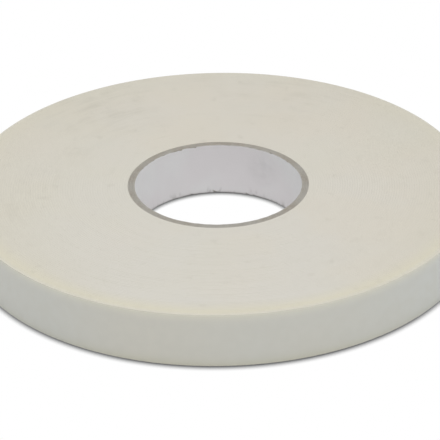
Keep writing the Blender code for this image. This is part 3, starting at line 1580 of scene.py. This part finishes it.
@dataclass
class PaperCore:
    """The paper core: a white lining around the bore, and plies of grey board around that.

    Attributes:
        finishes: The materials.
        plies: How many plies of board there are.
        facets: Steps in one turn.
        rows: Steps up the lining.
        fray: How far the slit edges of the paper and board fray.
        usual_fray: Share of that at most places.
        fray_waves: Waves to the metre of what changes that share, and how strong they are.
        ply_round: Rounding of the plies' slit edges.
        round_steps: Steps in that rounding.
        seam_angle: Angle at which the lining's seam leaves its lower edge.
        seam_run: How far round the seam runs up to the upper edge.
        seam_gap: Gap along that seam.
        upper_edge: Nicks in the lining's upper edge.
        lower_edge: Nicks in the lining's lower edge.
        seed: Start of the random draws.
    """

    finishes: Finishes
    plies: int = 4
    facets: int = 288
    rows: int = 12
    fray: float = 0.00020
    usual_fray: float = 0.4
    fray_waves: tuple[Range, ...] = ((420.0, 0.5), (1134.0, 0.25))
    ply_round: float = 0.00010
    round_steps: int = 2
    seam_angle: float = math.radians(-140)
    seam_run: float = math.radians(65)
    seam_gap: float = 0.0003
    upper_edge: NickedEdge = NickedEdge(26, (15, 175), widths=(0.00104, 0.0026), depths=(0.00021, 0.0007))
    lower_edge: NickedEdge = NickedEdge(5, (62, 115), widths=(0.00088, 0.0022), depths=(0.00048, 0.0016))
    seed: int = 7

    def fray_at(self, corner: Vector) -> float:
        """How far an edge is frayed back at a point."""
        change = sum(strength * noise.noise(corner * waves) for waves, strength in self.fray_waves)
        return self.fray * max(0.0, self.usual_fray + change)

    def build_lining(self) -> Piece:
        """Model the lining: a sheet wound once round the bore, with a slanting seam and nicked edges.

        Returns:
            The piece.
        """
        ring = Ring.measured("core_lining")
        width = ring.high - ring.low
        draws = random.Random(self.seed)
        upper_nicks = self.upper_edge.draw(draws, ring.inner)
        lower_nicks = self.lower_edge.draw(draws, ring.inner)
        bm = bmesh.new()
        ends = [bm.verts.new((ring.inner, 0.0, height)) for height in (ring.low, ring.high)]
        bm.edges.new(ends)
        bmesh.ops.subdivide_edges(bm, edges=bm.edges[:], cuts=self.rows - 1)
        turns = sweep(bm, FULL_TURN - self.seam_gap / ring.inner, self.facets)
        half_row = 0.5 / self.rows
        for vert, turn in turns.items():
            share = (vert.co.z - ring.low) / width
            angle = self.seam_angle + self.seam_run * share + turn
            frayed = self.fray_at(around(ring.inner, angle, vert.co.z))
            if share < half_row:
                share += (frayed + max(nick.at(angle) for nick in lower_nicks)) / width
            elif share > 1 - half_row:
                share -= (frayed + max(nick.at(angle) for nick in upper_nicks)) / width
            angle = self.seam_angle + self.seam_run * share + turn
            vert.co = around(ring.inner, angle, ring.low + share * width)
        bmesh.ops.recalc_face_normals(bm, faces=bm.faces[:])
        bmesh.ops.solidify(bm, geom=bm.faces[:], thickness=ring.inner - ring.outer)
        return make_piece("core_lining_paper", bm, ring.flat_map(self.seam_angle).lay_out)

    def build_ply(self, number: int) -> Piece:
        """Model a ply: a ring with rounded, frayed slit edges.

        Args:
            number: Which ply, counted from the bore.

        Returns:
            The piece.
        """
        ring = Ring.measured(f"core_ply_{number}")
        halfway = (ring.low + ring.high) / 2
        bm = bmesh.new()
        drawn = section(bm, wall(ring.inner, ring.outer, ring.low, ring.high))
        bmesh.ops.bevel(
            bm,
            geom=bm.verts[:] + drawn,
            offset=self.ply_round,
            segments=self.round_steps,
            profile=0.5,
            affect="VERTICES",
            material=-1,
        )
        bmesh.ops.spin(
            bm,
            geom=bm.verts[:] + bm.edges[:],
            cent=CENTRE,
            axis=AXIS,
            angle=FULL_TURN,
            steps=self.facets,
            use_merge=True,
        )
        bmesh.ops.remove_doubles(bm, verts=bm.verts[:], dist=MERGE_DISTANCE)
        for vert in bm.verts:
            vert.co.z -= Edge.towards(vert.co.z - halfway).value * self.fray_at(vert.co)
        return make_piece(f"core_board_ply_{number}", bm, ring.flat_map(self.seam_angle).lay_out)

    def build(self) -> list[Piece]:
        """Model and dress the core.

        Returns:
            Its pieces, from the bore outwards.
        """
        lining = self.build_lining()
        dress(lining, Slot.WHITE_PAPER, self.finishes, "core_lining")
        pieces = [lining]
        for number in range(1, self.plies + 1):
            ply = self.build_ply(number)
            dress(ply, Slot.GREY_BOARD, self.finishes, f"core_ply_{number}")
            pieces.append(ply)
        for piece in pieces:
            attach(piece, ROLL_BODY)
        return pieces


@dataclass
class TapeRoll:
    """The tape as it is wound: the laps under the last one, and the last one up to the lift line.

    Attributes:
        winding: The spiral.
        finishes: The materials.
        foam_crown: How far the foam bulges between its coats at the slit edges.
        liner_recess: How far the liner's slit edges lie behind the foam's.
    """

    winding: Winding
    finishes: Finishes
    foam_crown: float = 0.00006
    liner_recess: float = 0.00005

    def strip(self, layer: Layer, start: float, stop: float, **changes: float) -> SpiralStrip:
        """One layer of the tape on the last turn.

        Args:
            layer: Which layer.
            start: Angle at which it starts.
            stop: Angle at which it stops.
            changes: Other sizes of the strip.

        Returns:
            The strip, not modelled yet.
        """
        near, far = self.winding.depths[layer]
        edges = {"crown": self.foam_crown} if layer is Layer.FOAM else {"recess": self.liner_recess}
        sizes = {"near": near, "far": far} | edges | changes
        return SpiralStrip(self.winding, start=start, stop=stop, **sizes)

    def lay(self, layer: Layer, node: str, start: float, stop: float, **changes: float) -> Piece:
        """Model and dress one layer of the tape on the last turn.

        Args:
            layer: Which layer.
            node: The solid that it stands for.
            start: Angle at which it starts.
            stop: Angle at which it stops.
            changes: Other sizes of the strip.

        Returns:
            The piece, which is named for the solid.
        """
        piece = self.strip(layer, start, stop, **changes).build(f"{node}_strip")
        dress(piece, layer.slot, self.finishes, node)
        return piece

    def build_inner_laps(self) -> list[Piece]:
        """Model and dress the laps under the last one.

        Returns:
            The foam with its coats, and the liner between the laps.
        """
        winding = self.winding
        begin, end = winding.start_angle, winding.end_angle
        room = winding.radius(begin) - winding.core_radius
        count = {"first_lap": 1, "laps": math.ceil(room / winding.pitch)}
        paper_depth = winding.depths[Layer.OUTER_ADHESIVE][0]
        strips = {
            Layer.FOAM: self.strip(Layer.FOAM, begin, end, near=paper_depth, far=winding.pitch, **count),
            Layer.LINER: self.strip(Layer.LINER, begin, end, far=paper_depth, **count),
        }
        pieces = []
        for layer, strip in strips.items():
            piece = strip.build(f"inner_laps_{layer.value}")
            dress(piece, layer.slot, self.finishes, "wound_laps")
            pieces.append(piece)
        return pieces

    def build(self) -> list[Piece]:
        """Model and dress the wound tape.

        Returns:
            Its pieces, the last lap from the core outwards.
        """
        begin, lift = self.winding.start_angle, self.winding.lift_angle
        pieces = self.build_inner_laps()
        for layer in Layer:
            pieces.append(self.lay(layer, f"last_lap_{layer.value}", begin, lift))
        for piece in pieces:
            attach(piece, ROLL_BODY)
        return pieces


@dataclass
class TapeEnd:
    """The end of the tape, which lifts off the roll, and the end of its liner, which peels off it.

    Attributes:
        roll: The wound tape that it belongs to.
        lift_bend: Length of tape that bends where the end lifts; not used.
        peel_bend: Length of liner that bends where it peels; not used.
        step: Longest step along the tape.
        curl: How far the cut end stands off the lap below.
        liner_curl: How far the liner's cut end stands off its roll.
    """

    roll: TapeRoll
    lift_bend: float = 0.005
    peel_bend: float = 0.0025
    step: float = 0.0005
    curl: float = 0.00015
    liner_curl: float = 0.00030

    def bend(self, piece: Piece) -> None:
        """Apply the placement of a piece, which starts at a joint's line, to its mesh.

        Args:
            piece: The piece, which starts at that line.
        """
        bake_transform(piece)

    def build(self) -> list[Piece]:
        """Model and dress the end of the tape and of its liner.

        Returns:
            Its pieces, from the core outwards.
        """
        winding = self.roll.winding
        lift, peel, end = winding.lift_angle, winding.peel_angle, winding.end_angle
        pieces = []
        for layer in Layer:
            stop, curl = (peel, 0.0) if layer is Layer.LINER else (end, self.curl)
            node = f"tape_end_{layer.value}"
            piece = self.roll.lay(layer, node, lift, stop, step=self.step, curl=curl)
            self.bend(piece)
            pieces.append(piece)
        sizes = {"step": self.step, "curl": self.liner_curl}
        liner_end = self.roll.lay(Layer.LINER, "liner_end", peel, end, **sizes)
        self.bend(liner_end)
        return pieces + [liner_end]


@dataclass
class Studio:
    """A white floor, soft light from above and all round, and the camera.

    Attributes:
        floor_size: Side of the floor.
        floor_white: How much light the floor throws back.
        shadow_reach: How far from the object its contact shadow shows, beside it and in front.
        shadow_dark: Darkest tone of that shadow, beside the object and in front of it.
        shadow_front: How far a place is to the front or back where its shadow is no longer a side's,
            and where it is a front's.
        shadow_limits: Share of open sky at the darkest tone, and at white.
        shadow_samples: How often that share is sampled.
        sky_strength: Light from all round.
        sky_lean: How much more of that light comes from +X, +Y and +Z.
        lamp_place: Where the lamp hangs.
        lamp_size: Side of the lamp.
        lamp_power: Its power in watts.
        eye: Place of the camera.
        target: Point that the camera looks at.
        roll: How far the camera leans, in degrees.
        lens: Focal length in millimetres, on a sensor 36 mm wide.
    """

    floor_size: float = 12.0
    floor_white: float = 0.85
    shadow_reach: Range = (0.0033, 0.0043)
    shadow_dark: Range = (0.25, 0.145)
    shadow_front: Range = (0.5, 1.0)
    shadow_limits: Range = (0.56, 0.99)
    shadow_samples: int = 16
    sky_strength: float = 0.585
    sky_lean: Place = (0.13, 0.03, 0.0)
    lamp_place: Place = (-0.08, -0.28, 1.1)
    lamp_size: float = 1.2
    lamp_power: float = 7.55
    eye: Place = (0.0, -1.06404, 0.59713)
    target: Place = (0.00051, 0.0, 0.00608)
    roll: float = 0.88
    lens: float = 217.75

    @staticmethod
    def as_seen(graph: Graph, lit: Socket, seen: Socket) -> Socket:
        """Light the object by one shader, and show another one.

        Args:
            graph: The tree.
            lit: The shader that lights the object.
            seen: What the camera sees, also in a mirror or through glass.

        Returns:
            Both shaders as one.
        """
        path = graph.add("LightPath").outputs
        mirrored = graph.math("MAXIMUM", path["Is Glossy Ray"], path["Is Transmission Ray"])
        directly = graph.math("MAXIMUM", path["Is Camera Ray"], mirrored)
        return graph.add("MixShader", {0: directly, 1: lit, 2: seen}).outputs[0]

    def build_floor(self) -> None:
        """Lay the floor: white to the eye, darker close to the object, and a plain white reflector."""
        bm = bmesh.new()
        bmesh.ops.create_grid(bm, x_segments=2, y_segments=2, size=self.floor_size / 2)
        floor = make_piece("floor", bm)
        material = bpy.data.materials.new("floor_white")
        material.use_nodes = True
        material.node_tree.nodes.clear()
        graph = Graph(material.node_tree)
        outwards = graph.vector("NORMALIZE", graph.place_on_piece())
        ahead = graph.math("ABSOLUTE", graph.coordinates(outwards)[1])
        reach = graph.spread(ahead, self.shadow_front, self.shadow_reach)
        dark = graph.spread(ahead, self.shadow_front, self.shadow_dark)
        sky = graph.add("AmbientOcclusion", {"Distance": reach}, samples=self.shadow_samples).outputs["AO"]
        low, high = self.shadow_limits
        tone = graph.add("MapRange", {0: sky, 1: low, 2: high, 3: dark, 4: 1.0}).outputs[0]
        seen = graph.add("Emission", {"Color": tone, "Strength": 1.0}).outputs[0]
        lit = graph.add("BsdfDiffuse", {"Color": (self.floor_white,) * 3}).outputs[0]
        graph.add("OutputMaterial", {"Surface": self.as_seen(graph, lit, seen)})
        floor.data.materials.append(material)

    def build_light(self) -> None:
        """Light the roll evenly from all round, and more from above."""
        world = bpy.data.worlds.new("studio")
        world.use_nodes = True
        world.node_tree.nodes.clear()
        graph = Graph(world.node_tree)
        white = (1.0, 1.0, 1.0)
        lean = graph.measure("DOT_PRODUCT", graph.add("TexCoord").outputs["Generated"], self.sky_lean)
        strength = graph.math("ADD", lean, self.sky_strength)
        lit = graph.add("Background", {"Color": white, "Strength": strength}).outputs[0]
        seen = graph.add("Background", {"Color": white, "Strength": 1.0}).outputs[0]
        graph.add("OutputWorld", {"Surface": self.as_seen(graph, lit, seen)})
        bpy.context.scene.world = world
        lamp = bpy.data.lights.new("softbox", "AREA")
        lamp.size = self.lamp_size
        lamp.energy = self.lamp_power
        holder = bpy.data.objects.new("softbox", lamp)
        holder.location = self.lamp_place
        bpy.context.scene.collection.objects.link(holder)

    def build_camera(self) -> None:
        """Set the camera up where the roll is looked at from."""
        camera = bpy.data.cameras.new("camera")
        camera.lens = self.lens
        holder = bpy.data.objects.new("camera", camera)
        eye = Vector(self.eye)
        look = (Vector(self.target) - eye).to_track_quat("-Z", "Y").to_matrix()
        lean = Matrix.Rotation(-math.radians(self.roll), 3, "Z")
        holder.matrix_world = Matrix.Translation(eye) @ (look @ lean).to_4x4()
        bpy.context.scene.collection.objects.link(holder)
        bpy.context.scene.camera = holder

    def build(self) -> None:
        """Set up the floor, the light and the camera."""
        self.build_floor()
        self.build_light()
        self.build_camera()
        bpy.context.scene.view_settings.view_transform = "Standard"


def make_finishes(winding: Winding) -> Finishes:
    """Build the material of each finish.

    Args:
        winding: The spiral, which gives the heights and the radius that finishes follow.

    Returns:
        The materials by slot.
    """
    heights = {"low": winding.low, "high": winding.high}
    made = (
        LiningFinish(**heights),
        BoardFinish(**heights),
        FoamFinish(rim_radius=winding.end_radius, **heights),
        AdhesiveFinish(**heights),
        LinerFinish(**heights),
    )
    return {finish.slot: finish.material() for finish in made}


def main() -> None:
    """Build the studio and the roll, and log how many faces each piece has."""
    logging.basicConfig(level=logging.INFO, format="%(message)s")
    Studio().build()
    winding = Winding.from_frame()
    finishes = make_finishes(winding)
    roll = TapeRoll(winding, finishes)
    pieces = PaperCore(finishes).build() + roll.build() + TapeEnd(roll).build()
    for piece in pieces:
        log.info("%s: %d faces", piece.name, len(piece.data.polygons))


if __name__ == "__main__":
    main()
